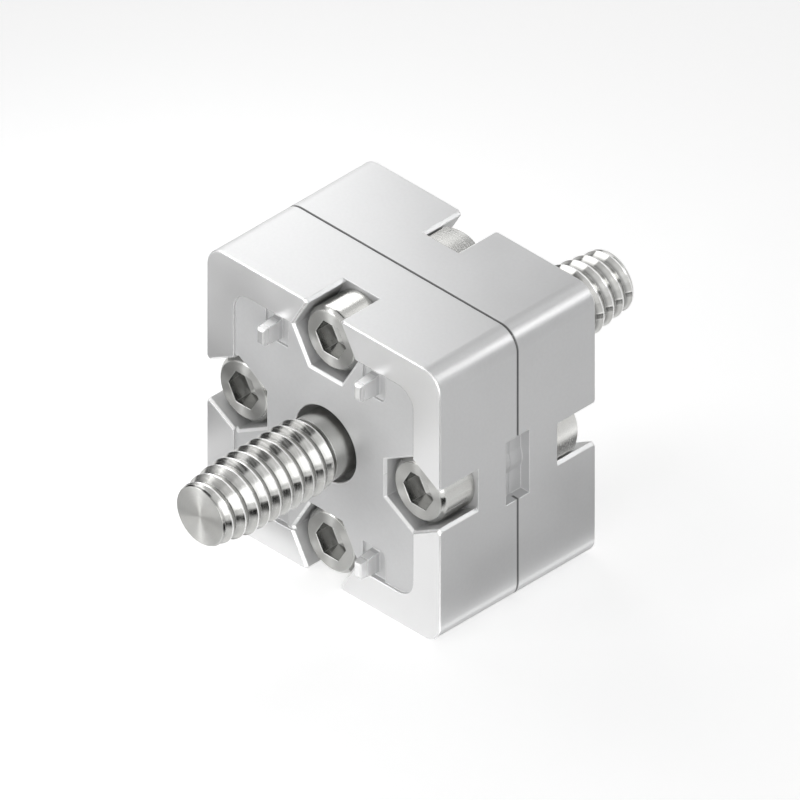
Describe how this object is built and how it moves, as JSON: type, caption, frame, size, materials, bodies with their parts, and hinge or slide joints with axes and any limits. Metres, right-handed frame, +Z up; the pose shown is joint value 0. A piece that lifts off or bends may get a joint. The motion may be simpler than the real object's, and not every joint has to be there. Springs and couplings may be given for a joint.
{
  "type": "profile end connector",
  "caption": "Square two-part block that joins two aluminium profiles end to end, with a thread-forming stud on each end face and clamp screws between the halves.",
  "frame": {"origin": "middle of the block, where the profile axis crosses the joint between the halves", "axes": "+Y along the profile axis towards the rear stud, +X to the right seen from the front, +Z up"},
  "size_m": [0.045, 0.0792, 0.045],
  "materials": {
    "cast_aluminium": "satin die-cast surface, lightly tumbled",
    "plated_profile_screw": "bright zinc plate on a rolled thread, with a turned end",
    "plated_clamp_screw": "bright zinc plate",
    "plated_nut": "bright zinc plate"
  },
  "bodies": {
    "root": {"front_housing": "cast_aluminium", "rear_housing": "cast_aluminium", "front_profile_screw": "plated_profile_screw", "rear_profile_screw": "plated_profile_screw", "clamp_screw_top": "plated_clamp_screw", "clamp_screw_right": "plated_clamp_screw", "clamp_screw_bottom": "plated_clamp_screw", "clamp_screw_left": "plated_clamp_screw", "clamp_nut_top": "plated_nut", "clamp_nut_right": "plated_nut", "clamp_nut_bottom": "plated_nut", "clamp_nut_left": "plated_nut"}
  },
  "joints": []
}
